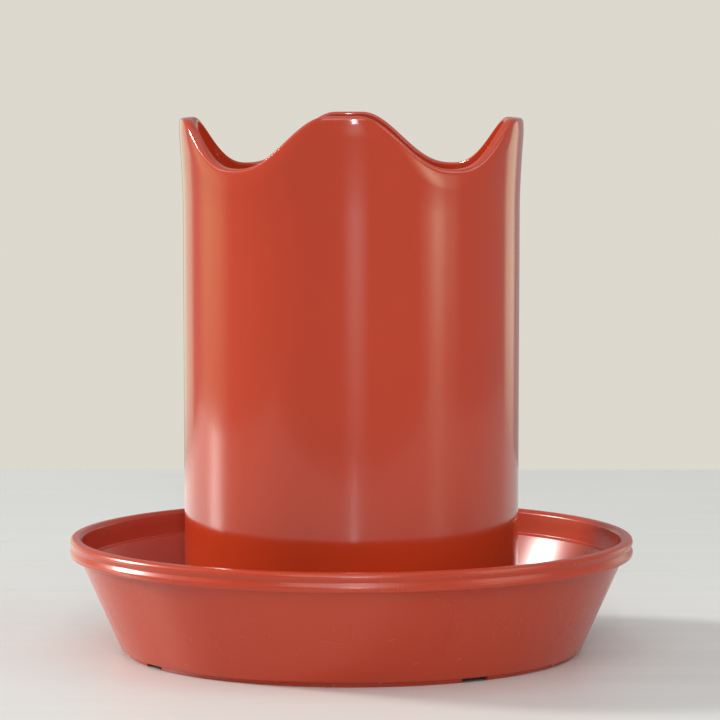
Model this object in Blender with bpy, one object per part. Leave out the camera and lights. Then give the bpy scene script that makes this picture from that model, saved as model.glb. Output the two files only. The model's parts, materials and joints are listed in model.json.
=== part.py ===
"""Top-filled vacuum fount for poultry: a crowned water tank that locks into a wide drinking tray.

Lengths are millimetres and angles are degrees until a mesh is made. Azimuths start at the front (-Y)
and grow towards +X. The whole object shares one vertical axis, which every joint turns about or slides along.
"""

import math

import bmesh
import bpy
from mathutils import Matrix, Vector

MM = 0.001
GAP = 0.3  # between pieces that touch
RING_STEPS = 60  # facets round the large pieces
SMALL_STEPS = 40  # facets round the neck thread, the gasket and the cap thread

# Drinking tray
TRAY_RADIUS = 125.0
TRAY_HEIGHT = 51.7
RIM_BAND = 8.5  # height of the double-beaded rim
WALL_TOP_RADIUS = 120.8
WALL_FOOT_RADIUS = 103.3
TRAY_WALL = 2.6
FOOT_RADIUS = 99.8
FOOT_HEIGHT = 2.3
FLOOR_TOP = 4.7
STEP_DROP = 2.9  # from the rim's underside to the step inside the wall
FOOT_WALL = 2.8
NOTCH_WIDTH = 13.0
NOTCH_DEPTH = 1.6
NOTCH_AZIMUTH = 31.6

# Tank shell and its crown
SHELL_RADIUS = 74.0
SHELL_DRAFT = 0.3  # growth of the radius from the foot to the crown
SHELL_WALL = 2.5
SHELL_BOTTOM = 7.2
CROWN_START = 197.0
CREST_HEIGHT = 237.4
CREST_SWAY = 0.85  # the front and back crests stand this much over the mean, the side ones as much under
VALLEY_HEIGHT = 215.4
VALLEY_HALF_ANGLE = 35.2
VALLEY_POWER = 1.24  # above 1 keeps a valley's bottom broad
VALLEY_AZIMUTHS = (-43.0, 37.5, 141.0, 221.0)
CROWN_FLARE = 2.2
EDGE_WALL = 4.2  # the wall thickens upwards to this at the crown's edge
EDGE_RISE = 2.2  # height of the edge's rounding
EDGE_CURL = 0.9  # the edge leans in by this, over the height below
CURL_HEIGHT = 9.0

# Port, bayonet and seat at the shell's foot
PORT_WIDTH = 18.0
PORT_TOP = 37.0
LUG_SWEEP = 16.0
HOOK_SWEEP = 18.0
LOCK_TURN = 20.0
LUG_INNER = 67.6
LUG_BOTTOM = 8.5
LUG_TOP = 11.5
LOCK_RING_RADIUS = 65.6
LOCK_RING_WALL = 2.4
LOCK_RING_TOP = 15.4
FLANGE_RADIUS = 58.0  # inner edge of the lock ring's foot
FLANGE_THICK = 2.0
HOOK_RADIUS = 70.6
HOOK_CLEAR = 0.6  # between a lug and the hook over it
STOP_SWEEP = 2.0
STOP_CLEAR = 0.4  # degrees between a lug at its full turn and the stop

# Tank floor and valve
TANK_FLOOR_TOP = 45.5
TANK_FLOOR_THICK = 2.4
FLOOR_LIP = 1.5  # raised edge that the seal sits on
LIP_WIDTH = 2.2
LEDGE_DEPTH = 2.6
LEDGE_THICK = 2.4
SEAL_WIDTH = 1.8
SEAL_THICK = 2.0
OUTLET_RADIUS = 9.0
OUTLET_WALL = 2.5
WATER_LEVEL = 33.0  # the outlet's lower end, which sets the level in the tray
VALVE_TRAVEL = 7.5
STEM_RADIUS = 3.0
PLUG_RADIUS = 12.0
SPRING_RADIUS = 5.8
SPRING_WIRE = 1.2
SPRING_TURNS = 6
SPRING_SEAT = 60.0
SPRING_COLLAR = 80.0
COLLAR_RADIUS = 7.2
GUIDE_RADIUS = 5.4
GUIDE_HEAD_RADIUS = 7.6
GUIDE_ARMS = 3
GUIDE_ARM = (2.4, 2.0)  # width and height
STEM_BOTTOM = 13.4
SHOULDER_RADIUS = 5.2
STEM_HEAD_RADIUS = 5.6
PLUG_THICK = 4.6
WASHER_RADIUS = 7.5
WASHER_THICK = 1.5
NUT_FLAT = 5.0  # half the width across flats
NUT_THICK = 3.0

# Deck, filler neck and cap
DECK_TOP = 194.4
DECK_THICK = 2.4
DECK_LIP = 3.0
NECK_RADIUS = 30.6
NECK_WALL = 2.6
NECK_TOP = 206.0
THREAD_PITCH = 5.0
THREAD_HEIGHT = 1.6
CAP_RADIUS = 36.0
CAP_INNER = 33.0
CAP_BOTTOM = 197.2
CAP_TOP = 211.0
CAP_PLATE = 2.4
WELL_RADIUS = 24.0
WELL_FLOOR = 197.0
WELL_PLATE = 2.1
SOCKET_RADIUS = 7.0  # skirt under the well that centres the stem's head
SOCKET_WALL = 1.8
SOCKET_DEPTH = 4.0
GRIP_BAR = 5.0
RIB_COUNT = 16
RIB_HEIGHT = 0.9

TERRACOTTA = (0.43, 0.065, 0.032)
DARK_RUBBER = (0.02, 0.02, 0.022)
WHITE_ACETAL = (0.75, 0.74, 0.70)
STEEL = (0.62, 0.62, 0.64)


def clear_scene():
    for obj in list(bpy.data.objects):
        bpy.data.objects.remove(obj, do_unlink=True)


def make_material(name, colour, roughness, metallic=0.0):
    material = bpy.data.materials.new(name)
    material.use_nodes = True
    shader = material.node_tree.nodes["Principled BSDF"]
    shader.inputs["Base Color"].default_value = (*colour, 1.0)
    shader.inputs["Roughness"].default_value = roughness
    shader.inputs["Metallic"].default_value = metallic
    return material


def place(name, shape, material, parent):
    """The finished object of a bmesh in millimetres, smooth except at its sharp edges."""
    bmesh.ops.remove_doubles(shape, verts=shape.verts, dist=1e-4)
    bmesh.ops.recalc_face_normals(shape, faces=shape.faces)
    bmesh.ops.scale(shape, vec=(MM, MM, MM), verts=shape.verts)
    mesh = bpy.data.meshes.new(name)
    shape.to_mesh(mesh)
    shape.free()
    mesh.shade_smooth()
    mesh.set_sharp_from_angle(angle=math.radians(32))
    if material:
        mesh.materials.append(material)
    obj = bpy.data.objects.new(name, mesh)
    obj.parent = parent
    bpy.context.scene.collection.objects.link(obj)
    return obj


def helper(name, shape):
    """An object that only shapes others through their Boolean modifiers."""
    obj = place(name, shape, None, None)
    obj.hide_render = True
    obj.display_type = "WIRE"
    return obj


def combine(obj, others, operation):
    for other in others:
        modifier = obj.modifiers.new(other.name, "BOOLEAN")
        modifier.operation = operation
        modifier.object = other


def body_frame(name, parent=None):
    """The empty that a moving group hangs on, on the common axis."""
    frame = bpy.data.objects.new(name, None)
    frame.empty_display_size = 0.03
    frame.parent = parent
    bpy.context.scene.collection.objects.link(frame)
    return frame


def on_ring(radius, azimuth, height):
    turn = math.radians(azimuth)
    return Vector((radius * math.sin(turn), -radius * math.cos(turn), height))


def turned(outline, steps, start=0.0, sweep=360.0):
    """A closed outline of (radius, height) points carried round the axis, capped where it stops short of a turn."""
    shape = bmesh.new()
    corners = [shape.verts.new(on_ring(radius, start, height)) for radius, height in outline]
    section = shape.faces.new(corners)
    whole = sweep == 360.0
    if whole:
        edges = list(section.edges)
        bmesh.ops.delete(shape, geom=[section], context="FACES_ONLY")
        geometry = corners + edges
    else:
        geometry = [section]
        bmesh.ops.duplicate(shape, geom=corners + list(section.edges) + [section])
    bmesh.ops.spin(
        shape,
        geom=geometry,
        cent=(0, 0, 0),
        axis=(0, 0, 1),
        angle=math.radians(sweep),
        steps=steps,
        use_merge=whole,
    )
    bmesh.ops.remove_doubles(shape, verts=shape.verts, dist=1e-4)
    return shape


def box(size, centre, azimuth=0.0):
    """A box whose second size runs outwards at the azimuth."""
    shape = bmesh.new()
    turn = Matrix.Rotation(math.radians(azimuth), 4, "Z")
    scale = Matrix.Diagonal((*size, 1.0))
    bmesh.ops.create_cube(shape, size=1.0, matrix=turn @ Matrix.Translation(centre) @ scale)
    return shape


def rectangle(inner, outer, bottom, top):
    return [(inner, bottom), (outer, bottom), (outer, top), (inner, top)]


def arc(centre, radius, start, stop, count):
    """Points of an arc in the (radius, height) plane, angles from the outward direction."""
    points = []
    for step in range(count):
        turn = math.radians(start + (stop - start) * step / (count - 1))
        points.append((centre[0] + radius * math.cos(turn), centre[1] + radius * math.sin(turn)))
    return points


def helix_bar(section, start_height, pitch, turns, steps_per_turn, start=0.0):
    """A section of (radius, height) points carried up a helix and closed at both ends."""
    shape = bmesh.new()
    count = round(turns * steps_per_turn)
    rings = []
    for step in range(count + 1):
        part = turns * step / count
        height = start_height + pitch * part
        ring = [shape.verts.new(on_ring(r, start + 360.0 * part, height + z)) for r, z in section]
        rings.append(ring)
    for lower, upper in zip(rings, rings[1:]):
        for side in range(len(section)):
            other = (side + 1) % len(section)
            shape.faces.new((lower[side], lower[other], upper[other], upper[side]))
    shape.faces.new(reversed(rings[0]))
    shape.faces.new(rings[-1])
    return shape


def drinking_tray(material, parent):
    rim_bottom = TRAY_HEIGHT - RIM_BAND
    bead = RIM_BAND / 4
    lean = (WALL_TOP_RADIUS - WALL_FOOT_RADIUS) / (rim_bottom - 3.4)
    step_height = rim_bottom - STEP_DROP
    outline = [(FOOT_RADIUS - FOOT_WALL, 0.0), (FOOT_RADIUS, 0.0), (FOOT_RADIUS + 0.4, 1.7)]
    outline += [(WALL_FOOT_RADIUS - 1.4, 2.1), (WALL_FOOT_RADIUS, 3.4), (WALL_TOP_RADIUS, rim_bottom)]
    outline += [(TRAY_RADIUS - 0.9, rim_bottom)]
    outline += arc((TRAY_RADIUS - bead, rim_bottom + bead), bead, -25, 50, 4)
    outline += arc((TRAY_RADIUS - bead, TRAY_HEIGHT - bead), bead, -50, 90, 6)
    outline += [(WALL_TOP_RADIUS - 0.4, TRAY_HEIGHT - 0.3), (WALL_TOP_RADIUS - 1.2, TRAY_HEIGHT - 1.4)]
    outline += [(WALL_TOP_RADIUS - 2.2, step_height + 1.0)]
    step_radius = WALL_FOOT_RADIUS + lean * (step_height - 3.4) - TRAY_WALL - 0.4
    outline += [(step_radius, step_height)]
    outline += [(WALL_FOOT_RADIUS - TRAY_WALL + 0.7, FLOOR_TOP + 2.2)]
    outline += [(WALL_FOOT_RADIUS - TRAY_WALL - 2.0, FLOOR_TOP), (0.0, FLOOR_TOP)]
    outline += [(0.0, FOOT_HEIGHT), (FOOT_RADIUS - 3.4, FOOT_HEIGHT)]
    tray = place("drinking_tray", turned(outline, RING_STEPS), material, parent)
    for index in range(2):
        below = 1.0
        middle = (0, 0, (NOTCH_DEPTH - below) / 2)
        bar = box((NOTCH_WIDTH, 2.1 * FOOT_RADIUS, NOTCH_DEPTH + below), middle, NOTCH_AZIMUTH + 90 * index)
        combine(tray, [helper(f"foot_notch_{index + 1}", bar)], "DIFFERENCE")


def lock_ring(material, parent):
    bottom = FLOOR_TOP + GAP
    flange = bottom + FLANGE_THICK
    inner = LOCK_RING_RADIUS - LOCK_RING_WALL
    outline = [(FLANGE_RADIUS, bottom), (LOCK_RING_RADIUS, bottom), (LOCK_RING_RADIUS, LOCK_RING_TOP)]
    outline += [(inner, LOCK_RING_TOP), (inner, flange), (FLANGE_RADIUS, flange)]
    ring = place("lock_ring", turned(outline, RING_STEPS), material, parent)
    root = LOCK_RING_RADIUS - LOCK_RING_WALL / 2
    lug_end = LOCK_TURN + LUG_SWEEP / 2 + STOP_CLEAR
    for index in range(4):
        section = rectangle(root, HOOK_RADIUS, LUG_TOP + HOOK_CLEAR, LOCK_RING_TOP - 0.2)
        start = 90.0 * index - LOCK_TURN - HOOK_SWEEP / 2
        hook = helper(f"hook_{index + 1}", turned(section, 4, start, HOOK_SWEEP))
        section = rectangle(root, HOOK_RADIUS, bottom + 1.0, LOCK_RING_TOP - 0.6)
        start = 90.0 * index - lug_end - STOP_SWEEP
        stop = helper(f"hook_stop_{index + 1}", turned(section, 1, start, STOP_SWEEP))
        combine(ring, [hook, stop], "UNION")


def seat_ring(material, parent):
    outline = rectangle(inner_radius() + 0.1, SHELL_RADIUS - 0.2, FLOOR_TOP + GAP, SHELL_BOTTOM - GAP)
    place("seat_ring", turned(outline, RING_STEPS), material, parent)


def skin_radius(height):
    """Outer radius of the shell: a slight draft, and a flare in the crown."""
    flare = max(0.0, (height - CROWN_START) / (CREST_HEIGHT - CROWN_START))
    return SHELL_RADIUS + SHELL_DRAFT * height / CROWN_START + CROWN_FLARE * flare**1.6


def crown_edge(azimuth):
    """Height of the crown's edge: broad crests with a rounded valley between each two."""
    crest = CREST_HEIGHT + CREST_SWAY * math.cos(2 * math.radians(azimuth))
    away = min(abs((azimuth - valley + 180) % 360 - 180) for valley in VALLEY_AZIMUTHS)
    share = min(1.0, (away / VALLEY_HALF_ANGLE) ** VALLEY_POWER)
    return crest - (crest - VALLEY_HEIGHT) * 0.5 * (1 + math.cos(math.pi * share))


def inner_radius():
    return SHELL_RADIUS - SHELL_WALL


def ledge(top):
    """A ring inside the shell, with a sloped lower side, that a disc is welded against."""
    inner = inner_radius()
    edge = inner - LEDGE_DEPTH
    return [(inner, top), (edge, top), (edge, top - LEDGE_THICK + 1.6), (inner, top - LEDGE_THICK - 1.0)]


def mirrored(points, height):
    """Points measured down from zero, turned over and set up from a height."""
    return [(radius, height - down) for radius, down in points]


def squared_edge(outer, base):
    """Points over the crown's edge, from outside to inside: nearly flat on top, with rounded corners."""
    half = EDGE_WALL / 2
    points = []
    for step in range(1, 8):
        along, up = math.cos(math.pi * step / 7), math.sin(math.pi * step / 7)
        radius = outer - half + half * math.copysign(abs(along) ** 0.6, along)
        points.append((radius, base + EDGE_RISE * max(0.0, up) ** 0.6))
    return points


def fount_shell(material, parent):
    edge_start = CREST_HEIGHT - EDGE_RISE
    heights = [SHELL_BOTTOM, 60.0, 130.0, CROWN_START, 208.0, 220.0, 229.0, edge_start]
    outline = [(skin_radius(height), height) for height in heights]
    outline += squared_edge(skin_radius(edge_start), edge_start)
    for height in reversed(heights[3:-1]):
        thickening = ((height - CROWN_START) / (edge_start - CROWN_START)) ** 1.5
        outline.append((skin_radius(height) - SHELL_WALL - (EDGE_WALL - SHELL_WALL) * thickening, height))
    outline += ledge(DECK_TOP - DECK_THICK - SEAL_THICK - 2 * GAP)
    outline += reversed(mirrored(ledge(0.0), TANK_FLOOR_TOP + FLOOR_LIP + SEAL_THICK + 2 * GAP))
    outline += [(inner_radius(), SHELL_BOTTOM)]
    shape = turned(outline, RING_STEPS)
    for vertex in shape.verts:
        height = vertex.co.z
        if height <= CROWN_START + 1e-3:
            continue
        azimuth = math.degrees(math.atan2(vertex.co.x, -vertex.co.y))
        lift = crown_edge(azimuth) - CREST_HEIGHT
        share = min(1.0, (height - CROWN_START) / (edge_start - CROWN_START))
        offset = vertex.co.xy.length - skin_radius(min(height, edge_start))
        raised = min(height, edge_start) + lift * share
        below = crown_edge(azimuth) - height - lift * share
        curl = EDGE_CURL * max(0.0, 1 - below / CURL_HEIGHT) ** 2
        vertex.co.xy = vertex.co.xy.normalized() * (skin_radius(raised) + offset - curl)
        vertex.co.z = height + lift * share
    shell = place("fount_shell", shape, material, parent)
    for index in range(4):
        section = rectangle(LUG_INNER, SHELL_RADIUS - 1.2, LUG_BOTTOM, LUG_TOP)
        lug = turned(section, 4, 90.0 * index - LUG_SWEEP / 2, LUG_SWEEP)
        combine(shell, [helper(f"lug_{index + 1}", lug)], "UNION")
    for index in range(2):
        combine(shell, [helper(f"port_{index + 1}", arched_bar(45 + 90 * index))], "DIFFERENCE")


def arched_bar(azimuth):
    """A bar through the shell's foot with a half-round top, which opens a port at each end."""
    half = PORT_WIDTH / 2
    outline = [(-half, SHELL_BOTTOM - 3), (half, SHELL_BOTTOM - 3)]
    outline += arc((0, PORT_TOP - half), half, 0, 180, 9)
    shape = bmesh.new()
    length = 1.1 * SHELL_RADIUS
    face = shape.faces.new([shape.verts.new((x, -length, z)) for x, z in outline])
    pushed = bmesh.ops.extrude_face_region(shape, geom=[face])["geom"]
    moved = [item for item in pushed if isinstance(item, bmesh.types.BMVert)]
    bmesh.ops.translate(shape, vec=(0, 2 * length, 0), verts=moved)
    bmesh.ops.rotate(shape, matrix=Matrix.Rotation(math.radians(azimuth), 3, "Z"), verts=shape.verts)
    return shape


def tank_floor(material, parent):
    outer = inner_radius() - GAP
    top = TANK_FLOOR_TOP
    bottom = top - TANK_FLOOR_THICK
    tube = OUTLET_RADIUS + OUTLET_WALL
    lip = outer - LIP_WIDTH
    outline = [(tube, WATER_LEVEL), (tube, bottom - 0.6), (outer, bottom), (outer, top + FLOOR_LIP)]
    outline += [(lip, top + FLOOR_LIP), (lip, top), (tube, top - 0.6), (tube, top + 2.5)]
    outline += [(OUTLET_RADIUS, top + 2.5), (OUTLET_RADIUS, WATER_LEVEL)]
    place("tank_floor", turned(outline, RING_STEPS), material, parent)


def seal(name, bottom, material, parent):
    """A flat rubber ring between a ledge of the shell and the disc welded against it."""
    outer = inner_radius() - 0.5
    outline = rectangle(outer - SEAL_WIDTH, outer, bottom, bottom + SEAL_THICK)
    place(name, turned(outline, RING_STEPS), material, parent)


def top_deck(material, parent):
    outer = inner_radius() - GAP
    bottom = DECK_TOP - DECK_THICK
    inner = NECK_RADIUS - NECK_WALL
    outline = [(inner, bottom), (outer, bottom), (outer, DECK_TOP + DECK_LIP), (outer - 1.6, DECK_TOP + DECK_LIP)]
    outline += [(outer - LIP_WIDTH, DECK_TOP), (NECK_RADIUS + 0.8, DECK_TOP + 0.4)]
    outline += [(NECK_RADIUS, DECK_TOP + 1.2), (NECK_RADIUS, NECK_TOP), (inner, NECK_TOP)]
    deck = place("top_deck", turned(outline, RING_STEPS), material, parent)
    section = thread_section(NECK_RADIUS - 0.5, NECK_RADIUS + THREAD_HEIGHT)
    thread = helix_bar(section, CAP_BOTTOM + 0.4, THREAD_PITCH, 1.25, SMALL_STEPS)
    combine(deck, [helper("neck_thread", thread)], "UNION")


def thread_section(root, crest):
    return [(root, -1.1), (crest, -0.5), (crest, 0.5), (root, 1.1)]


def filler_cap(material, parent):
    bottom_of_plate = CAP_TOP - CAP_PLATE
    well = WELL_RADIUS + CAP_PLATE
    underside = WELL_FLOOR - WELL_PLATE
    socket = SOCKET_RADIUS + SOCKET_WALL
    outline = [(CAP_INNER, CAP_BOTTOM), (CAP_RADIUS, CAP_BOTTOM), (CAP_RADIUS, CAP_TOP - 1.2)]
    outline += [(CAP_RADIUS - 1.2, CAP_TOP), (WELL_RADIUS + 0.6, CAP_TOP), (WELL_RADIUS, CAP_TOP - 0.6)]
    outline += [(WELL_RADIUS, WELL_FLOOR), (0.0, WELL_FLOOR), (0.0, underside), (SOCKET_RADIUS, underside)]
    outline += [(SOCKET_RADIUS, underside - SOCKET_DEPTH), (socket, underside - SOCKET_DEPTH)]
    outline += [(socket, underside), (well, underside)]
    outline += [(well, bottom_of_plate), (CAP_INNER, bottom_of_plate)]
    shape = turned(outline, RIB_COUNT * 4)
    for vertex in shape.verts:
        step = round(math.degrees(math.atan2(vertex.co.x, -vertex.co.y)) * RIB_COUNT * 4 / 360)
        skirt = vertex.co.xy.length > CAP_RADIUS - 0.1
        if skirt and step % 4 in (0, 1):
            vertex.co.xy *= 1 + RIB_HEIGHT / CAP_RADIUS
    cap = place("filler_cap", shape, material, parent)
    middle = (0, 0, (CAP_TOP + WELL_FLOOR - 1) / 2)
    bar = box((GRIP_BAR, 2 * WELL_RADIUS + 1.2, CAP_TOP - WELL_FLOOR), middle, 90)
    section = list(reversed(thread_section(CAP_INNER + 0.5, NECK_RADIUS + 0.7)))
    start_height = CAP_BOTTOM + 0.4 + THREAD_PITCH / 2
    thread = helix_bar(section, start_height, THREAD_PITCH, 1.0, SMALL_STEPS)
    combine(cap, [helper("grip_bar", bar), helper("cap_thread", thread)], "UNION")


def cap_gasket(material, parent):
    bottom = NECK_TOP + GAP
    top = CAP_TOP - CAP_PLATE - GAP
    outline = rectangle(NECK_RADIUS - NECK_WALL - 0.3, NECK_RADIUS + 0.5, bottom, top)
    place("cap_gasket", turned(outline, SMALL_STEPS), material, parent)


def stem_guide(material, parent):
    bore = STEM_RADIUS + GAP
    foot = TANK_FLOOR_TOP + 2.5 + GAP
    outline = [(bore, foot), (GUIDE_RADIUS, foot), (GUIDE_RADIUS, SPRING_SEAT - 2.6)]
    outline += [(GUIDE_HEAD_RADIUS, SPRING_SEAT - 2.0), (GUIDE_HEAD_RADIUS, SPRING_SEAT), (bore, SPRING_SEAT)]
    guide = place("stem_guide", turned(outline, 24), material, parent)
    rim = OUTLET_RADIUS + OUTLET_WALL
    width, height = GUIDE_ARM
    ring = helper("guide_ring", turned(rectangle(OUTLET_RADIUS + 0.4, rim - 0.2, foot, foot + height), 36))
    combine(guide, [ring], "UNION")
    inner, outer = GUIDE_RADIUS - 1.0, rim - 0.8
    for index in range(GUIDE_ARMS):
        middle = (0, -(inner + outer) / 2, foot + height / 2)
        arm = box((width, outer - inner, height), middle, 360 / GUIDE_ARMS * index)
        combine(guide, [helper(f"guide_arm_{index + 1}", arm)], "UNION")


def valve_stem(material, parent):
    top = WELL_FLOOR - WELL_PLATE - GAP
    shoulder = WATER_LEVEL - VALVE_TRAVEL
    outline = [(0.0, STEM_BOTTOM), (STEM_RADIUS, STEM_BOTTOM), (STEM_RADIUS, shoulder)]
    outline += [(SHOULDER_RADIUS, shoulder), (SHOULDER_RADIUS, shoulder + 1.6), (STEM_RADIUS, shoulder + 3.2)]
    outline += [(STEM_RADIUS, SPRING_COLLAR), (COLLAR_RADIUS, SPRING_COLLAR)]
    outline += [(COLLAR_RADIUS, SPRING_COLLAR + 2.0), (STEM_RADIUS, SPRING_COLLAR + 4.0)]
    outline += [(STEM_RADIUS, top - 4.5), (STEM_HEAD_RADIUS, top - 2.0), (STEM_HEAD_RADIUS, top - 0.8)]
    outline += [(STEM_HEAD_RADIUS - 0.8, top), (0.0, top)]
    place("valve_stem", turned(outline, 24), material, parent)


def on_stem(outer, thick, top, steps):
    """A ring threaded on the stem's lower end, hung from a height."""
    return turned(rectangle(STEM_RADIUS + GAP, outer, top - thick, top), steps)


def valve_end(rubber, steel, parent):
    """The plug under the stem's shoulder, and the washer and hexagonal nut that hold it."""
    plug_top = WATER_LEVEL - VALVE_TRAVEL - GAP
    washer_top = plug_top - PLUG_THICK - GAP
    nut_top = washer_top - WASHER_THICK - GAP
    place("valve_plug", on_stem(PLUG_RADIUS, PLUG_THICK, plug_top, 36), rubber, parent)
    place("plug_washer", on_stem(WASHER_RADIUS, WASHER_THICK, washer_top, 36), steel, parent)
    nut = on_stem(NUT_FLAT, NUT_THICK, nut_top, 24)
    for vertex in nut.verts:
        if vertex.co.xy.length > NUT_FLAT - 0.1:
            azimuth = math.degrees(math.atan2(vertex.co.x, -vertex.co.y))
            vertex.co.xy /= math.cos(math.radians(azimuth % 60 - 30))
    place("plug_nut", nut, steel, parent)


def valve_spring(material, parent):
    sides = 6
    section = []
    for side in range(sides):
        turn = 2 * math.pi * side / sides
        section.append((SPRING_RADIUS + SPRING_WIRE / 2 * math.cos(turn), SPRING_WIRE / 2 * math.sin(turn)))
    bottom = SPRING_SEAT + GAP + SPRING_WIRE / 2
    rise = SPRING_COLLAR - GAP - SPRING_WIRE / 2 - bottom
    coil = helix_bar(section, bottom, rise / SPRING_TURNS, SPRING_TURNS, 16)
    place("valve_spring", coil, material, parent)


def main():
    clear_scene()
    plastic = make_material("terracotta_plastic", TERRACOTTA, 0.32)
    rubber = make_material("dark_rubber", DARK_RUBBER, 0.7)
    acetal = make_material("white_acetal", WHITE_ACETAL, 0.4)
    steel = make_material("stainless_steel", STEEL, 0.25, 1.0)
    tray_body = body_frame("tray_body")
    seat_body = body_frame("seat_body", tray_body)
    fount_body = body_frame("fount_body", seat_body)
    gasket_body = body_frame("gasket_body", fount_body)
    cap_body = body_frame("cap_body", gasket_body)
    valve_body = body_frame("valve_body", fount_body)
    drinking_tray(plastic, tray_body)
    lock_ring(plastic, tray_body)
    seat_ring(rubber, seat_body)
    fount_shell(plastic, fount_body)
    tank_floor(plastic, fount_body)
    top_deck(plastic, fount_body)
    seal("floor_seal", TANK_FLOOR_TOP + FLOOR_LIP + GAP, rubber, fount_body)
    seal("deck_seal", DECK_TOP - DECK_THICK - SEAL_THICK - GAP, rubber, fount_body)
    stem_guide(acetal, fount_body)
    cap_gasket(rubber, gasket_body)
    filler_cap(plastic, cap_body)
    valve_stem(acetal, valve_body)
    valve_end(rubber, steel, valve_body)
    valve_spring(steel, valve_body)


main()
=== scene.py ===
import json
import math

import bmesh
import bpy
import numpy as np
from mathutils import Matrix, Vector


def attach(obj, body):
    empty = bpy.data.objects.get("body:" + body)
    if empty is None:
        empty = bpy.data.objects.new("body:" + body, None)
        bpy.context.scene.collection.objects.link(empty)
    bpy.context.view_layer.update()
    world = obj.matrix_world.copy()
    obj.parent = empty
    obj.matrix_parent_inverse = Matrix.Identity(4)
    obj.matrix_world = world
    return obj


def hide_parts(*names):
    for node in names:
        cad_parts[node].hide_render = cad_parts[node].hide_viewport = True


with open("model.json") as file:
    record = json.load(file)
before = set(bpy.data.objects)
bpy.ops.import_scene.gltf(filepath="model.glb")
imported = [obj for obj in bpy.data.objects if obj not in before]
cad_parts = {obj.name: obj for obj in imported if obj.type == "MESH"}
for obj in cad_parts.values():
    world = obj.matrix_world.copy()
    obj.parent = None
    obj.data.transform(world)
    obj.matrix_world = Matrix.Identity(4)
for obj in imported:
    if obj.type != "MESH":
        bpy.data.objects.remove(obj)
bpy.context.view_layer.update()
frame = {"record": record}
mm = 0.001
mergeWithin = 2e-7
nearlyStraight = 3.10
record = frame["record"]
nodeBody = {name: body for body, names in record["behaviour"]["bodies"].items() for name in names}


# shapes are worked out in millimetres, with azimuths in degrees from the front (-Y) towards +X

def ringPoint(radius, azimuth, height):
    # x = r sin a, y = -r cos a, z = height, for whole arrays
    turn = np.radians(azimuth)
    return np.stack(np.broadcast_arrays(radius * np.sin(turn), -radius * np.cos(turn), height), -1)


def roundedOutline(corners, steps=5):
    # each corner is (radius, height, fillet): an arc tangent to both neighbouring edges takes its place
    points = np.array([corner[:2] for corner in corners], float)
    outline = []
    for index, corner in enumerate(corners):
        here = points[index]
        before = points[index - 1] - here
        after = points[(index + 1) % len(points)] - here
        lengths = np.hypot(*before), np.hypot(*after)
        fillet = corner[2] if len(corner) > 2 else 0.0
        opening = math.acos(np.clip(before @ after / (lengths[0] * lengths[1]), -1, 1))
        if fillet <= 0 or opening > nearlyStraight:
            outline.append(here[None])
            continue
        reach = min(fillet / math.tan(opening / 2), 0.49 * min(lengths))
        radius = reach * math.tan(opening / 2)
        middle = before / lengths[0] + after / lengths[1]
        centre = here + middle / np.hypot(*middle) * radius / math.sin(opening / 2)
        first = here + before / lengths[0] * reach - centre
        last = here + after / lengths[1] * reach - centre
        start = math.atan2(first[1], first[0])
        swing = (math.atan2(last[1], last[0]) - start + math.pi) % (2 * math.pi) - math.pi
        turns = start + swing * np.linspace(0, 1, steps + 1)
        outline.append(centre + radius * np.stack([np.cos(turns), np.sin(turns)], -1))
    return np.concatenate(outline)


def quads(index):
    # four-sided faces between neighbours of index[column, row]
    corners = index[:-1, :-1], index[1:, :-1], index[1:, 1:], index[:-1, 1:]
    return np.stack(corners, -1).reshape(-1, 4).tolist()


def gridObject(name, points, closed=True):
    # points[column, row] joined to its neighbours; closed joins the last column to the first
    index = np.arange(points[..., 0].size).reshape(points.shape[:2])
    return meshObject(name, points.reshape(-1, 3), quads(np.vstack([index, index[:1]]) if closed else index))


def joinedPiece(name, parts, sharp=38):
    # each part is a closed section carried along: round on itself, or with a flat face at each end
    vertices, faces, start = [], [], 0
    for points, ringed in parts:
        index = start + np.arange(points[..., 0].size).reshape(points.shape[:2])
        both = np.hstack([index, index[:, :1]])
        faces += quads(np.vstack([both, both[:1]]) if ringed else both)
        if not ringed:
            faces += [index[0].tolist(), index[-1].tolist()]
        vertices.append(points.reshape(-1, 3))
        start += index.size
    return meshObject(name, np.concatenate(vertices), faces, sharp)


def carried(outline, azimuths):
    # the outline's points, once for each azimuth
    return ringPoint(outline[None, :, 0], np.asarray(azimuths)[:, None], outline[None, :, 1])


def fullTurn(columns):
    return np.arange(columns) * 360 / columns


def coiled(section, startHeight, pitch, turns, perTurn):
    # radius = section radius, azimuth = 360 t, height = start + pitch t + section height
    t = np.linspace(0, turns, round(turns * perTurn) + 1)[:, None]
    return ringPoint(section[None, :, 0], 360 * t, startHeight + pitch * t + section[None, :, 1])


def rectangle(inner, outer, bottom, top, fillet, steps=4):
    corners = [(inner, bottom, fillet), (outer, bottom, fillet), (outer, top, fillet), (inner, top, fillet)]
    return roundedOutline(corners, steps)


def bar(section, start, stop, azimuth):
    # a section of (across, height) points pushed outwards from one radius to another
    turn = math.radians(azimuth)
    along = np.asarray((start, stop), float)[:, None]
    across, height = section[None, :, 0], section[None, :, 1]
    x = along * math.sin(turn) + across * math.cos(turn)
    y = -along * math.cos(turn) + across * math.sin(turn)
    return np.stack(np.broadcast_arrays(x, y, height), -1)


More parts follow.
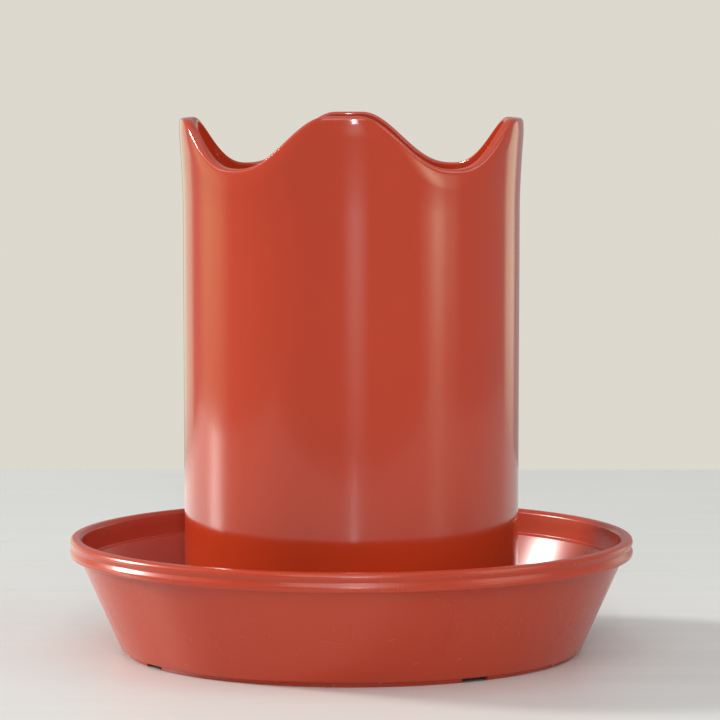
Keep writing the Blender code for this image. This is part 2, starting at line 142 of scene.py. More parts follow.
def meshObject(name, vertices, faces, sharp=38):
    # vertices in millimetres; equal ones are merged, which closes poles, and the faces turned outwards
    mesh = bpy.data.meshes.new(name)
    mesh.from_pydata((vertices * mm).tolist(), [], faces)
    shape = bmesh.new()
    shape.from_mesh(mesh)
    bmesh.ops.remove_doubles(shape, verts=shape.verts, dist=mergeWithin)
    bmesh.ops.recalc_face_normals(shape, faces=shape.faces)
    shape.to_mesh(mesh)
    shape.free()
    mesh.shade_smooth()
    mesh.set_sharp_from_angle(angle=math.radians(sharp))
    obj = bpy.data.objects.new(name, mesh)
    bpy.context.scene.collection.objects.link(obj)
    return obj


def turnedPiece(name, outline, columns=180, sharp=38):
    # the outline carried once round the axis
    return joinedPiece(name, [(carried(outline, fullTurn(columns)), True)], sharp)


def settle(piece, node, material):
    # the piece takes the node's place, body and material slot
    piece.data.materials.append(material)
    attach(piece, nodeBody[node])
    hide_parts(node)


class Wire:
    # a socket that takes part in arithmetic: each operation adds its Math node
    def __init__(self, recipe, socket):
        self.recipe = recipe
        self.socket = socket

    def math(self, operation, *values):
        return self.recipe.node("Math", {"operation": operation}, dict(enumerate(values)))

    def __add__(self, other):
        return self.math("ADD", self, other)

    def __radd__(self, other):
        return self.math("ADD", other, self)

    def __sub__(self, other):
        return self.math("SUBTRACT", self, other)

    def __rsub__(self, other):
        return self.math("SUBTRACT", other, self)

    def __mul__(self, other):
        return self.math("MULTIPLY", self, other)

    def __rmul__(self, other):
        return self.math("MULTIPLY", other, self)

    def over(self, low, high):
        # 0 at low, 1 at high, smooth between
        settings = {"interpolation_type": "SMOOTHSTEP"}
        return self.recipe.node("MapRange", settings, {"Value": self, "From Min": low, "From Max": high})


class Recipe:
    # one material while it is mixed
    def __init__(self, name, **fixed):
        self.material = bpy.data.materials.new(name)
        self.material.use_nodes = True
        self.tree = self.material.node_tree
        self.shader = self.tree.nodes["Principled BSDF"]
        for socket, value in fixed.items():
            self.shader.inputs[socket.replace("_", " ")].default_value = value
        self.place = self.node("TexCoord", out="Object")

    def node(self, kind, settings=None, sockets=None, out=0):
        made = self.tree.nodes.new("ShaderNode" + kind)
        for key, value in (settings or {}).items():
            setattr(made, key, value)
        for key, value in (sockets or {}).items():
            if isinstance(value, Wire):
                self.tree.links.new(value.socket, made.inputs[key])
            else:
                made.inputs[key].default_value = value
        return Wire(self, made.outputs[out])

    def noise(self, scale, detail=2.0, roughness=0.5, place=None):
        sockets = {"Vector": place or self.place, "Scale": scale, "Detail": detail, "Roughness": roughness}
        return self.node("TexNoise", None, sockets)

    def stretched(self, factors):
        return self.node("Mapping", {"vector_type": "POINT"}, {"Vector": self.place, "Scale": factors})

    def blend(self, share, first, second):
        settings = {"data_type": "RGBA"}
        return self.node("Mix", settings, {0: share, 6: first, 7: second}, out=2)

    def feed(self, **wires):
        for socket, wire in wires.items():
            self.tree.links.new(wire.socket, self.shader.inputs[socket.replace("_", " ")])
        return self.material

    def bump(self, height, distance, strength=1.0, after=None):
        sockets = {"Height": height, "Distance": distance, "Strength": strength}
        if after:
            sockets["Normal"] = after
        return self.node("Bump", None, sockets)


plastic = dict(
    base=(0.475, 0.042, 0.012, 1), deep=(0.445, 0.038, 0.011, 1), dust=(0.60, 0.33, 0.24, 1),
    roughness=0.10, coat=0.25, coatRoughness=0.04,
)


def mixPlastic(name, values):
    # moulded plastic: faint cloudy pigment, scuffs along the turn, hairline scratches and a few dust specks
    mix = Recipe(name, Coat_Roughness=values["coatRoughness"], IOR=1.5)
    cloud = mix.noise(9, 3).over(0.35, 0.7)
    around = mix.noise(60, 4, 0.6, mix.stretched((1, 1, 0.08))).over(0.52, 0.72)
    scratch = mix.noise(420, 2, 0.5, mix.stretched((0.03, 1, 0.6))).over(0.70, 0.74)
    specks = mix.node("TexVoronoi", {"feature": "F1"}, {"Vector": mix.place, "Scale": 300.0})
    dust = (1 - specks.over(0.02, 0.05)) * mix.noise(35, 2).over(0.60, 0.68)
    colour = mix.blend(cloud * 0.8, values["base"], values["deep"])
    colour = mix.blend(dust * 0.18 + scratch * 0.015, colour, values["dust"])
    rough = values["roughness"] + cloud * 0.03 + around * 0.05 + scratch * 0.08 + dust * 0.25
    peel = mix.bump(mix.noise(55, 2), 0.00012, 0.25)
    grain = mix.bump(mix.noise(1400, 1), 0.00002, 0.35, peel)
    coat = values["coat"] - around * 0.08 - dust * 0.2
    return mix.feed(Base_Color=colour, Roughness=rough, Coat_Weight=coat, Normal=grain)


rubberMix = dict(base=(0.022, 0.022, 0.024, 1), bloom=(0.075, 0.072, 0.07, 1), roughness=0.52)
acetalMix = dict(base=(0.76, 0.75, 0.71, 1), deep=(0.68, 0.66, 0.60, 1), roughness=0.34)
steelMix = dict(base=(0.60, 0.60, 0.61, 1), dull=(0.42, 0.42, 0.43, 1), roughness=0.22)


def mixRubber(name, values):
    # moulded rubber with a greyish bloom and a fine matt grain
    mix = Recipe(name, IOR=1.5)
    bloom = mix.noise(45, 4, 0.6).over(0.48, 0.75)
    colour = mix.blend(bloom * 0.6, values["base"], values["bloom"])
    grain = mix.bump(mix.noise(900, 2), 0.00004, 0.5)
    return mix.feed(Base_Color=colour, Roughness=values["roughness"] + bloom * 0.2, Normal=grain)


def mixAcetal(name, values):
    # hard white plastic, a little yellowed in clouds, with faint turning marks
    mix = Recipe(name, IOR=1.48)
    cloud = mix.noise(28, 3).over(0.35, 0.7)
    marks = mix.noise(700, 2, 0.5, mix.stretched((0.15, 0.15, 1)))
    colour = mix.blend(cloud * 0.7, values["base"], values["deep"])
    rough = values["roughness"] + cloud * 0.08
    return mix.feed(Base_Color=colour, Roughness=rough, Normal=mix.bump(marks, 0.00002, 0.3))


def mixSteel(name, values):
    # drawn stainless steel with fine lines and dull patches
    mix = Recipe(name, Metallic=1.0)
    dull = mix.noise(120, 4, 0.6).over(0.45, 0.75)
    lines = mix.noise(900, 3, 0.6, mix.stretched((0.2, 0.2, 1)))
    colour = mix.blend(dull * 0.7, values["base"], values["dull"])
    rough = values["roughness"] + dull * 0.14 + lines * 0.08
    return mix.feed(Base_Color=colour, Roughness=rough, Normal=mix.bump(lines, 0.00002, 0.4))


terracotta = mixPlastic("terracottaPlastic", plastic)
trayPlastic = mixPlastic("trayPlastic", dict(plastic, coat=0.02, roughness=0.23))
rubber = mixRubber("darkRubber", rubberMix)
acetal = mixAcetal("whiteAcetal", acetalMix)
steel = mixSteel("stainlessSteel", steelMix)
print("materials mixed")


tray = dict(
    radius=125.0, height=51.7, rimBand=8.5, wallTop=120.8, wallFoot=103.3, wall=2.6,
    foot=99.8, footHeight=2.3, floor=4.7, notchWidth=13.0, notchAzimuth=31.6, notchTop=1.6,
    columns=720, longest=6.0,
)
notchHalf = math.degrees(math.asin(tray["notchWidth"] / 2 / tray["foot"]))
brink = 0.01  # degrees from an upright edge to the column on each side of it


def trayOutline(t):
    # from the underside's centre up the outside, over the rim's two beads, and down the inside to the floor
    rimBottom = t["height"] - t["rimBand"]
    bead = t["rimBand"] / 4
    lean = (t["wallTop"] - t["wallFoot"]) / (rimBottom - 3.4)
    step = rimBottom - 2.9
    stepRadius = t["wallFoot"] + lean * (step - 3.4) - t["wall"] - 0.4
    corners = [
        (0, t["footHeight"]), (t["foot"] - 3.4, t["footHeight"], 0.5), (t["foot"] - 2.8, 0, 0.4),
        (t["foot"], 0, 0.5), (t["foot"] + 0.4, 1.9, 0.4), (t["wallFoot"] - 0.9, 2.1, 1.6),
        (t["wallTop"], rimBottom, 0.5), (t["radius"] - 0.5, rimBottom, 1.1),
        (t["radius"], rimBottom + bead, 2.0), (t["radius"] - 1.0, rimBottom + 2 * bead, 0.5),
        (t["radius"], rimBottom + 3 * bead, 1.6), (t["radius"] - 0.9, t["height"] - 0.3, 1.6),
        (t["wallTop"], t["height"], 1.4), (t["wallTop"] - 1.3, t["height"] - 1.6, 1.2),
        (t["wallTop"] - 2.2, step + 0.4, 0.5), (stepRadius, step, 0.7),
        (t["wallFoot"] - t["wall"] - 0.6, t["floor"], 5.0), (0, t["floor"]),
    ]
    return roundedOutline(corners, 7)


def makeTray():
    outline = trayOutline(tray)
    outline = np.vstack([outline[:1], refined(outline[1:-1], tray["longest"]), outline[-1:]])
    azimuths = notchedAzimuths(tray["columns"])
    radius = np.broadcast_to(outline[None, :, 0], (len(azimuths), len(outline))).copy()
    height = np.broadcast_to(outline[None, :, 1], radius.shape).copy()
    # a notch lifts the underside of the foot ring to just under the tray's underside
    away = np.abs((azimuths - tray["notchAzimuth"] + 45) % 90 - 45)
    inNotch = (away < notchHalf)[:, None] & (height < tray["notchTop"])
    height[inNotch] = tray["notchTop"]
    return gridObject("drinkingTray", ringPoint(radius, azimuths[:, None], height))


def refined(outline, longest):
    # extra points on the straight stretches, so that no facet is longer than this
    pieces = [outline[:1]]
    for start, stop in zip(outline[:-1], outline[1:]):
        count = max(1, math.ceil(np.hypot(*(stop - start)) / longest))
        pieces.append(start + (stop - start) * np.linspace(0, 1, count + 1)[1:, None])
    return np.concatenate(pieces)


def notchedAzimuths(columns):
    # even columns, and two more at each side of each notch
    sides = notchHalf + np.array([-brink, brink])
    edges = tray["notchAzimuth"] + 90 * np.arange(4)[:, None] + np.concatenate([-sides, sides])
    return np.unique(np.concatenate([fullTurn(columns), edges.ravel() % 360]))


settle(makeTray(), "drinking_tray", trayPlastic)
print("tray made")


shell = dict(
    radius=74.0, draft=0.3, wall=2.5, bottom=7.2, crownStart=197.0, crest=237.35, sway=0.85, valley=215.4,
    valleyHalf=35.2, valleyPower=1.24, valleys=(-43.0, 37.5, 141.0, 221.0), flare=2.2, flarePower=1.6,
    edgeWall=4.2, edgeRise=2.2, edgeSquare=0.6, wallPower=1.5, curl=0.9, curlHeight=9.0, footRound=0.5,
    lugSweep=16.0, lugInner=67.6, lugBottom=8.5, lugTop=11.5, portWidth=18.0, portTop=37.0,
    skirtTop=45.0, skirtRows=9, rowStart=50.0, rowStep=8.0, crownRows=30, columns=640,
    ledges=(
        (192, 0), (189.4, 0), (189.4, 2.6), (188.6, 2.6), (186, 0),
        (120, 0), (53, 0), (50.4, 2.6), (49.6, 2.6), (49.6, 0),
    ),
)


def skinRadius(height):
    # a slight draft, and a flare in the crown: radius + draft z / start + flare (share of the crown)^1.6
    s = shell
    rise = np.clip((height - s["crownStart"]) / (s["crest"] - s["crownStart"]), 0, None)
    return s["radius"] + s["draft"] * height / s["crownStart"] + s["flare"] * rise ** s["flarePower"]


def crownEdge(azimuth):
    # crest - depth (1 + cos(pi share)) / 2, where share is (angle from the nearest valley / half angle)^power
    s = shell
    crest = s["crest"] + s["sway"] * np.cos(2 * np.radians(azimuth))
    away = np.min([np.abs((azimuth - valley + 180) % 360 - 180) for valley in s["valleys"]], axis=0)
    share = np.clip((away / s["valleyHalf"]) ** s["valleyPower"], 0, 1)
    return crest - (crest - s["valley"]) * 0.5 * (1 + np.cos(np.pi * share))


def portEdge(azimuths):
    # height of the shell's lower edge: level, with four round-topped ports
    s = shell
    middle = s["radius"] - s["wall"] / 2
    away = np.abs(azimuths % 90 - 45)
    half = s["portWidth"] / 2
    across = middle * np.sin(np.radians(away))
    arch = s["portTop"] - half + np.sqrt(np.clip(half**2 - across**2, 0, None))
    return np.where(away < math.degrees(math.asin(half / middle)), arch, s["bottom"])


def shellAzimuths():
    # even columns, and two more at each jamb of each port
    s = shell
    half = math.degrees(math.asin(s["portWidth"] / 2 / (s["radius"] - s["wall"] / 2)))
    jambs = half + np.array([-brink, brink])
    edges = 45 + 90 * np.arange(4)[:, None] + np.concatenate([-jambs, jambs])
    return np.unique(np.concatenate([fullTurn(s["columns"]), edges.ravel()]))


def makeShell():
    # rows of (height, depth under the outer skin): up the outside, over the crown's edge, down the inside
    s = shell
    azimuths = shellAzimuths()
    low, edge = portEdge(azimuths), crownEdge(azimuths)
    top = edge - s["edgeRise"]
    half = s["edgeWall"] / 2
    rows = []
    climb = np.linspace(0, 1, s["crownRows"])
    foot = low + s["footRound"]
    skirt = [foot + (s["skirtTop"] - foot) * share for share in np.linspace(0, 1, s["skirtRows"])]
    plain = [np.full_like(low, height) for height in np.arange(s["rowStart"], s["crownStart"], s["rowStep"])]
    crown = [s["crownStart"] + (top - s["crownStart"]) * share for share in climb]

    def curlIn(drop):
        # curl (1 - drop / reach)^2, for the drop below the crown's edge
        return s["curl"] * np.clip(1 - drop / s["curlHeight"], 0, None) ** 2

    for height in skirt + plain + crown:
        rows.append((height, curlIn(edge - height)))
    # over the edge: a squared round, |cos|^0.6 across and sin^0.6 up
    for turn in np.linspace(0, np.pi, 25)[1:-1]:
        up = math.sin(turn) ** s["edgeSquare"]
        across = math.copysign(abs(math.cos(turn)) ** s["edgeSquare"], math.cos(turn))
        rows.append((top + s["edgeRise"] * up, curlIn(s["edgeRise"] * (1 - up)) + half - half * across))
    # down the inside, where the wall thins from the edge: wall + (edge wall - wall) share^1.5
    for share, height in zip(climb[::-1], crown[::-1]):
        thick = s["wall"] + (s["edgeWall"] - s["wall"]) * share ** s["wallPower"]
        rows.append((height, curlIn(edge - height) + thick))
    for height, depth in s["ledges"]:
        rows.append((np.full_like(low, height), s["wall"] + depth))
    for height in skirt[::-1]:
        rows.append((height, s["wall"]))
    r = s["footRound"]
    for inset, lift in ((s["wall"] - 0.3 * r, 0.3 * r), (s["wall"] - r, 0), (r, 0), (0.3 * r, 0.3 * r)):
        rows.append((low + lift, inset))
    height = np.stack([row[0] for row in rows], 1)
    depth = np.stack([np.broadcast_to(row[1], low.shape) for row in rows], 1)
    radius = skinRadius(np.minimum(height, top[:, None])) - depth
    parts = [(ringPoint(radius, azimuths[:, None], height), True)]
    lug = rectangle(s["lugInner"], s["radius"] - 1.2, s["lugBottom"], s["lugTop"], 0.5)
    for index in range(4):
        sweep = 90 * index + np.linspace(-0.5, 0.5, 17) * s["lugSweep"]
        parts.append((carried(lug, sweep), False))
    return joinedPiece("fountShell", parts)


settle(makeShell(), "fount_shell", terracotta)
print("shell made")


lock = dict(
    bottom=5.0, flange=58.0, flangeThick=2.0, radius=65.6, wall=2.4, top=15.4, turn=20.0,
    hookRadius=70.6, hookSweep=18.0, hookBottom=12.1, stopSweep=2.0, stopClear=0.4, fillet=0.5,
)


def makeLockRing(k):
    # an angle ring with four hooks over the lugs and a stop beside each
    inner, flange, fillet = k["radius"] - k["wall"], k["bottom"] + k["flangeThick"], k["fillet"]
    corners = [
        (k["flange"], k["bottom"], fillet), (k["radius"], k["bottom"], fillet),
        (k["radius"], k["top"], fillet), (inner, k["top"], fillet),
        (inner, flange, 1.2), (k["flange"], flange, fillet),
    ]
    parts = [(carried(roundedOutline(corners), fullTurn(288)), True)]
    root = k["radius"] - k["wall"] / 2
    hook = rectangle(root, k["hookRadius"], k["hookBottom"], k["top"] - 0.2, fillet)
    stop = rectangle(root, k["hookRadius"], k["bottom"] + 1.0, k["top"] - 0.6, fillet)
    lugEnd = k["turn"] + shell["lugSweep"] / 2 + k["stopClear"]
    for index in range(4):
        middle = 90 * index - k["turn"]
        parts.append((carried(hook, middle + np.linspace(-0.5, 0.5, 19) * k["hookSweep"]), False))
        parts.append((carried(stop, 90 * index - lugEnd - np.linspace(0, 1, 4) * k["stopSweep"]), False))
    return joinedPiece("lockRing", parts)


settle(makeLockRing(lock), "lock_ring", terracotta)

ring = dict(inner=71.5, outer=74.0, seatBottom=5.0, seatTop=6.9, sealWidth=1.8, sealThick=2.0, sealOuter=71.0)
seat = rectangle(ring["inner"] + 0.1, ring["outer"] - 0.2, ring["seatBottom"], ring["seatTop"], 0.45)
settle(turnedPiece("seatRing", seat, 288), "seat_ring", rubber)

floor = dict(
    outer=71.2, top=45.5, thick=2.4, lip=1.5, lipWidth=2.2, tube=11.5, bore=9.0, collar=2.5, level=33.0,
    fillet=0.5, columns=288, sealGap=0.3,
)


def makeTankFloor(f):
    # a disc with a raised edge and the outlet tube through its middle
    bottom, lip = f["top"] - f["thick"], f["outer"] - f["lipWidth"]
    corners = [
        (f["bore"], f["level"], 0.6), (f["tube"], f["level"], 0.6), (f["tube"], bottom - 0.6, 1.6),
        (f["outer"], bottom, f["fillet"]), (f["outer"], f["top"] + f["lip"], f["fillet"]),
        (lip, f["top"] + f["lip"], f["fillet"]), (lip, f["top"], 1.0), (f["tube"], f["top"] - 0.6, 1.4),
        (f["tube"], f["top"] + f["collar"], 0.5), (f["bore"], f["top"] + f["collar"], 0.5),
    ]
    return turnedPiece("tankFloor", refined(roundedOutline(corners), 6.0), f["columns"])


settle(makeTankFloor(floor), "tank_floor", terracotta)

deck = dict(
    top=194.4, thick=2.4, lip=3.0, outer=71.2, neck=30.6, neckWall=2.6, neckTop=206.0,
    threadStart=197.6, pitch=5.0, threadHeight=1.6, threadTurns=1.25, threadColumns=180, columns=360,
)
sealInner = ring["sealOuter"] - ring["sealWidth"]
for name, node, bottom in (
    ("floorSeal", "floor_seal", floor["top"] + floor["lip"] + floor["sealGap"]),
    ("deckSeal", "deck_seal", deck["top"] - deck["thick"] - ring["sealThick"] - floor["sealGap"]),
):
    outline = rectangle(sealInner, ring["sealOuter"], bottom, bottom + ring["sealThick"], 0.5)
    settle(turnedPiece(name, outline, 288), node, rubber)
print("lower rings and seals made")


def threadSection(root, crest):
    return roundedOutline([(root, -1.1), (crest, -0.55, 0.35), (crest, 0.55, 0.35), (root, 1.1)], 4)


def makeTopDeck(d):
    # a disc with a raised outer lip, and the neck with its thread
    bottom, inner = d["top"] - d["thick"], d["neck"] - d["neckWall"]
    corners = [
        (inner, bottom, 0.5), (d["outer"], bottom, 0.4), (d["outer"], d["top"] + d["lip"], 0.5),
        (d["outer"] - 1.6, d["top"] + d["lip"], 0.6), (d["outer"] - 2.2, d["top"], 1.6),
        (d["neck"] + 0.8, d["top"] + 0.2, 1.4), (d["neck"], d["top"] + 1.4, 0.8),
        (d["neck"], d["neckTop"], 0.7), (inner, d["neckTop"], 0.7),
    ]
    section = threadSection(d["neck"] - 0.5, d["neck"] + d["threadHeight"])
    thread = coiled(section, d["threadStart"], d["pitch"], d["threadTurns"], d["threadColumns"])
    body = carried(refined(roundedOutline(corners), 5.0), fullTurn(d["columns"]))
    return joinedPiece("topDeck", [(body, True), (thread, False)])


settle(makeTopDeck(deck), "top_deck", terracotta)

cap = dict(
    radius=36.0, inner=33.0, bottom=197.2, top=211.0, plate=2.4, well=24.0, wellFloor=197.0, wellPlate=2.1,
    socket=7.0, socketWall=1.8, socketDepth=4.0, bar=5.0, columns=512,
    ribs=16, ribHeight=0.9, ribHalf=0.375, ribFlank=0.25, ribOffset=0.125, ribEdge=1.2,
)


def makeCap(c):
    # a ribbed skirt, a flat top and a well with a bar across it to turn it by
    under, ceiling = c["wellFloor"] - c["wellPlate"], c["top"] - c["plate"]
    socket, well = c["socket"] + c["socketWall"], c["well"] + c["plate"]
    corners = [
        (0, c["wellFloor"]), (0, under), (c["socket"], under, 0.5),
        (c["socket"], under - c["socketDepth"], 0.5), (socket, under - c["socketDepth"], 0.5),
        (socket, under, 0.8), (well, under, 0.8), (well, ceiling, 1.0), (c["inner"], ceiling, 1.0),
        (c["inner"], c["bottom"], 0.5), (c["radius"], c["bottom"], 0.5), (c["radius"], c["top"], 1.5),
        (c["well"], c["top"], 1.1), (c["well"], c["wellFloor"], 1.8),
    ]
    outline = refined(roundedOutline(corners, 6), 3.0)
    azimuths = fullTurn(c["columns"])
    # ribs: a smooth bump round each rib's middle, only on the skirt, fading at its rounded top
    away = np.abs((azimuths * c["ribs"] / 360 - c["ribOffset"] + 0.5) % 1 - 0.5)
    bump = np.clip((c["ribHalf"] - away) / c["ribFlank"], 0, 1)
    bump = bump * bump * (3 - 2 * bump)
    outward = np.clip((outline[:, 0] - (c["radius"] - c["ribEdge"])) / c["ribEdge"], 0, 1)
    radius = outline[None, :, 0] + c["ribHeight"] * bump[:, None] * outward[None, :]
    body = ringPoint(radius, azimuths[:, None], outline[None, :, 1])
    section = rectangle(-c["bar"] / 2, c["bar"] / 2, c["wellFloor"] - 0.5, c["top"] - 0.5, 1.2)
    grip = bar(section, -c["well"] - 0.6, c["well"] + 0.6, 90)
    section = threadSection(c["inner"] + 0.5, deck["neck"] + 0.7)
    start = deck["threadStart"] + deck["pitch"] / 2
    thread = coiled(section, start, deck["pitch"], 1.0, deck["threadColumns"])
    return joinedPiece("fillerCap", [(body, True), (grip, False), (thread, False)])


settle(makeCap(cap), "filler_cap", terracotta)
inner = deck["neck"] - deck["neckWall"]
gasketTop = cap["top"] - cap["plate"] - 0.3
gasket = rectangle(inner - 0.3, deck["neck"] + 0.5, deck["neckTop"] + 0.3, gasketTop, 0.5)
settle(turnedPiece("capGasket", gasket, 240), "cap_gasket", rubber)
print("deck and cap made")


valve = dict(
    bore=3.3, stem=3.0, level=33.0, travel=7.5, plug=12.0, plugThick=4.6, washer=7.5, washerThick=1.5,
    nutFlat=5.0, nutThick=3.0, springRadius=5.8, wire=1.2, springTurns=6, seat=60.0,
    collar=80.0, collarRadius=7.2, guide=5.4, guideHead=7.6, arms=3, armWidth=2.4, armHeight=2.0,
    stemBottom=13.4, shoulder=5.2, head=5.6,
)


def makeStemGuide(v):
    foot = floor["top"] + floor["collar"] + 0.3
    corners = [
        (v["bore"], foot, 0.3), (v["guide"], foot, 0.3), (v["guide"], v["seat"] - 2.6, 0.8),
        (v["guideHead"], v["seat"] - 2.0, 0.4), (v["guideHead"], v["seat"], 0.4), (v["bore"], v["seat"], 0.4),
    ]
    parts = [(carried(roundedOutline(corners), fullTurn(96)), True)]
    rim = rectangle(floor["bore"] + 0.4, floor["tube"] - 0.2, foot, foot + v["armHeight"], 0.4)
    parts.append((carried(rim, fullTurn(120)), True))
    arm = rectangle(-v["armWidth"] / 2, v["armWidth"] / 2, foot, foot + v["armHeight"], 0.4)
    for index in range(v["arms"]):
        parts.append((bar(arm, v["guide"] - 1.0, floor["tube"] - 0.8, 360 / v["arms"] * index), False))
    return joinedPiece("stemGuide", parts)


def makeValveStem(v):
    top, shoulder = cap["wellFloor"] - cap["wellPlate"] - 0.3, v["level"] - v["travel"]
    corners = [
        (0, v["stemBottom"]), (v["stem"], v["stemBottom"], 0.5), (v["stem"], shoulder, 0.2),
        (v["shoulder"], shoulder, 0.3), (v["shoulder"], shoulder + 1.6, 0.4),
        (v["stem"], shoulder + 3.2, 0.6), (v["stem"], v["collar"], 0.4),
        (v["collarRadius"], v["collar"], 0.4),
        (v["collarRadius"], v["collar"] + 2.0, 0.5), (v["stem"], v["collar"] + 4.0, 0.8),
        (v["stem"], top - 4.5, 1.0), (v["head"], top - 2.0, 0.8), (v["head"], top, 1.2), (0, top),
    ]
    return turnedPiece("valveStem", refined(roundedOutline(corners), 8.0), 96)


def hungRing(name, outer, thick, top, fillet, columns=144):
    return turnedPiece(name, rectangle(valve["bore"], outer, top - thick, top, fillet), columns)


def makeNut(v, top):
    # a hexagon: radius = flat / cos(azimuth % 60 - 30), cut back to a cone at both faces
    outline = rectangle(v["bore"], v["nutFlat"], top - v["nutThick"], top, 0.25)
    azimuths = fullTurn(180)
    corner = v["nutFlat"] / np.cos(np.radians(azimuths % 60 - 30))
    outside = outline[:, 0] > v["nutFlat"] - 0.6
    edge = np.minimum(outline[:, 1] - (top - v["nutThick"]), top - outline[:, 1])
    cone = v["nutFlat"] * 1.02 + 2.2 * edge
    faced = np.minimum(corner[:, None], cone[None, :]) + outline[None, :, 0] - v["nutFlat"]
    radius = np.where(outside[None, :], faced, outline[None, :, 0])
    return joinedPiece("plugNut", [(ringPoint(radius, azimuths[:, None], outline[None, :, 1]), True)], 24)


def makeSpring(v):
    # round wire on a helix
    turn, half = np.linspace(0, 2 * np.pi, 15)[:-1], v["wire"] / 2
    section = np.stack([v["springRadius"] + half * np.cos(turn), half * np.sin(turn)], -1)
    bottom = v["seat"] + 0.3 + half
    pitch = (v["collar"] - 0.3 - half - bottom) / v["springTurns"]
    return joinedPiece("valveSpring", [(coiled(section, bottom, pitch, v["springTurns"], 72), False)])


settle(makeStemGuide(valve), "stem_guide", acetal)
settle(makeValveStem(valve), "valve_stem", acetal)
plugTop = valve["level"] - valve["travel"] - 0.3
washerTop = plugTop - valve["plugThick"] - 0.3
settle(hungRing("valvePlug", valve["plug"], valve["plugThick"], plugTop, 0.9), "valve_plug", rubber)
settle(hungRing("plugWasher", valve["washer"], valve["washerThick"], washerTop, 0.25), "plug_washer", steel)
settle(makeNut(valve, washerTop - valve["washerThick"] - 0.3), "plug_nut", steel)
settle(makeSpring(valve), "valve_spring", steel)
print("valve made")


view = dict(x=0.0038, distance=1.596, height=0.260, pitch=4.68, lens=180.7)
table = dict(
    left=-1.05, right=1.2, front=-0.80, back=0.72, edge=0.004,
    pale=(0.775, 0.77, 0.745, 1), grey=(0.695, 0.69, 0.66, 1), roughness=0.36,
)
surroundings = dict(seen=(0.72, 0.69, 0.62), light=(0.97, 0.98, 1.0), strength=0.40)


def makeTable(t):
    # a flat slab with eased edges; the long grain runs across it
    mix = Recipe("paleTable")
    tone = mix.noise(2.2, 4).over(0.3, 0.75)
    grain = mix.noise(16, 5, 0.62, mix.stretched((0.10, 1.6, 1))).over(0.35, 0.7)
    colour = mix.blend(tone * 0.45 + grain * 0.55, t["pale"], t["grey"])
    material = mix.feed(Base_Color=colour, Roughness=t["roughness"] + grain * 0.12)
    e = t["edge"]
    across = np.array([t["left"], t["left"] + e, t["right"] - e, t["right"]])
    along = np.array([t["front"], t["front"] + e, t["back"] - e, t["back"]])
    inset = np.array([1.0, 0.0, 0.0, 1.0])
    drop = -e * np.maximum(inset[:, None], inset[None, :])
    top = np.stack(np.broadcast_arrays(across[:, None], along[None, :], drop), -1)
    slab = gridObject("studioTable", top / mm, closed=False)
    slab.data.materials.append(material)


def addLight(name, place, target, size, power, colour, soft):
    lamp = bpy.data.lights.new(name, "AREA")
    lamp.shape = "RECTANGLE"
    lamp.size, lamp.size_y = size
    lamp.energy = power
    lamp.color = colour
    if soft:
        softenEdges(lamp, soft)
    obj = bpy.data.objects.new(name, lamp)
    bpy.context.scene.collection.objects.link(obj)
    obj.visible_camera = False
    obj.location = place
    obj.rotation_euler = (Vector(target) - Vector(place)).to_track_quat("-Z", "Y").to_euler()


def softenEdges(lamp, soft):
    # strength fades to nothing over this share of the panel's width and height, by smooth steps of u and v
    lamp.use_nodes = True
    tree = lamp.node_tree
    across = tree.nodes.new("ShaderNodeSeparateXYZ")
    tree.links.new(tree.nodes.new("ShaderNodeNewGeometry").outputs["Parametric"], across.inputs[0])
    strength = None
    for axis in (0, 1):
        ping = tree.nodes.new("ShaderNodeMath")
        ping.operation = "PINGPONG"
        ping.inputs[1].default_value = 0.5
        tree.links.new(across.outputs[axis], ping.inputs[0])
        fade = tree.nodes.new("ShaderNodeMapRange")
        fade.interpolation_type = "SMOOTHSTEP"
        fade.inputs["From Max"].default_value = soft
        tree.links.new(ping.outputs[0], fade.inputs["Value"])
        if strength is None:
            strength = fade.outputs[0]
            continue
        both = tree.nodes.new("ShaderNodeMath")
        both.operation = "MULTIPLY"
        tree.links.new(strength, both.inputs[0])
        tree.links.new(fade.outputs[0], both.inputs[1])
        strength = both.outputs[0]
    tree.links.new(strength, tree.nodes["Emission"].inputs["Strength"])


def aroundLight(name, azimuth, distance, height, size, radiance, colour, aim=0.12, soft=0.0, up=False):
    # a window at an azimuth, facing the axis or upwards; an area light's power is pi x area x radiance
    turn = math.radians(azimuth)
    place = (distance * math.sin(turn), -distance * math.cos(turn), height)
    target = (place[0], place[1], height + 1) if up else (0, 0, aim)
    addLight(name, place, target, size, math.pi * size[0] * size[1] * radiance, colour, soft)


def makeCamera(v):
    camera = bpy.data.cameras.new("camera")
    camera.lens = v["lens"]
    camera.sensor_width = 36
    obj = bpy.data.objects.new("camera", camera)
    obj.location = (v["x"], -v["distance"], v["height"])
    obj.rotation_euler = (math.radians(90 - v["pitch"]), 0, 0)
    bpy.context.scene.collection.objects.link(obj)
    bpy.context.scene.camera = obj


def makeWorld(seen, light, strength):
    # the backdrop that is seen and the fill that lights are set apart
    world = bpy.data.worlds.new("studio")
    world.use_nodes = True
    tree = world.node_tree
    fill = tree.nodes["Background"]
    fill.inputs["Color"].default_value = (*light, 1)
    fill.inputs["Strength"].default_value = strength
    backdrop = tree.nodes.new("ShaderNodeBackground")
    backdrop.inputs["Color"].default_value = (*seen, 1)
    path = tree.nodes.new("ShaderNodeLightPath")
    choice = tree.nodes.new("ShaderNodeMixShader")
    tree.links.new(path.outputs["Is Camera Ray"], choice.inputs[0])
    tree.links.new(fill.outputs[0], choice.inputs[1])
    tree.links.new(backdrop.outputs[0], choice.inputs[2])
    tree.links.new(choice.outputs[0], tree.nodes["World Output"].inputs["Surface"])
    bpy.context.scene.world = world


bpy.context.scene.view_settings.view_transform = "Standard"
makeTable(table)
makeWorld(**surroundings)
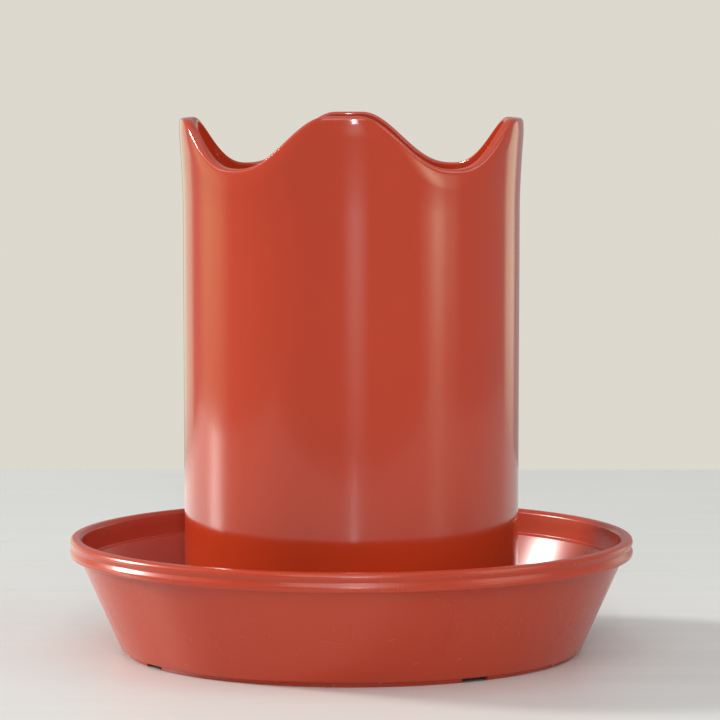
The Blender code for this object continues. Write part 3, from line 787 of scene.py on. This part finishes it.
# a low sun through the left window, high soft fills, and low panels that give the walls something to mirror
lights = (
    dict(
        name="sun", azimuth=-106, distance=5.2, height=2.18, size=(1.0, 1.0),
        radiance=87.0, colour=(0.97, 0.97, 0.93),
    ),
    dict(
        name="skylight", azimuth=0, distance=0.25, height=2.0, size=(1.9, 1.9),
        radiance=0.5, colour=(0.97, 0.99, 1.0), aim=0.0,
    ),
    dict(
        name="highFront", azimuth=-5, distance=1.7, height=1.45, size=(1.5, 0.9),
        radiance=2.5, colour=(1.0, 0.99, 0.97),
    ),
    dict(
        name="highLeft", azimuth=-80, distance=1.6, height=1.25, size=(1.2, 0.9),
        radiance=0.6, colour=(1.0, 0.96, 0.90),
    ),
    dict(
        name="highRight", azimuth=70, distance=1.7, height=1.25, size=(1.0, 0.8),
        radiance=2.0, colour=(1.0, 0.99, 0.97),
    ),
    dict(
        name="sunlitTable", azimuth=-118, distance=0.72, height=0.003, size=(1.3, 0.8),
        radiance=0.65, colour=(0.9, 1.0, 0.95), soft=0.3, up=True,
    ),
    dict(
        name="lowLeft", azimuth=-108, distance=3.0, height=0.24, size=(2.37, 1.26),
        radiance=1.0, colour=(0.8, 1.0, 0.46), soft=0.4,
    ),
    dict(
        name="lowBackLeft", azimuth=-152, distance=3.2, height=0.24, size=(2.08, 1.28),
        radiance=0.75, colour=(0.6, 1.0, 0.66), soft=0.2,
    ),
    dict(
        name="lowFront", azimuth=3, distance=2.6, height=0.14, size=(0.95, 0.9),
        radiance=1.5, colour=(0.80, 0.97, 1.0), soft=0.5,
    ),
    dict(
        name="frontWindow", azimuth=2, distance=2.3, height=0.95, size=(0.12, 1.1),
        radiance=30.0, colour=(0.84, 0.95, 1.0),
    ),
    dict(
        name="lowRight", azimuth=60, distance=3.0, height=0.32, size=(0.98, 1.26),
        radiance=2.8, colour=(0.9, 1.0, 0.70), soft=0.5,
    ),
    dict(
        name="lowRightWide", azimuth=62, distance=3.5, height=0.32, size=(2.39, 1.27),
        radiance=0.9, colour=(1.0, 0.95, 0.70), soft=0.3,
    ),
    dict(
        name="lowBackRight", azimuth=138, distance=3.2, height=0.24, size=(1.44, 1.28),
        radiance=1.05, colour=(0.95, 1.0, 0.68), soft=0.3,
    ),
)
for light in lights:
    aroundLight(**light)
makeCamera(view)
print("studio set")
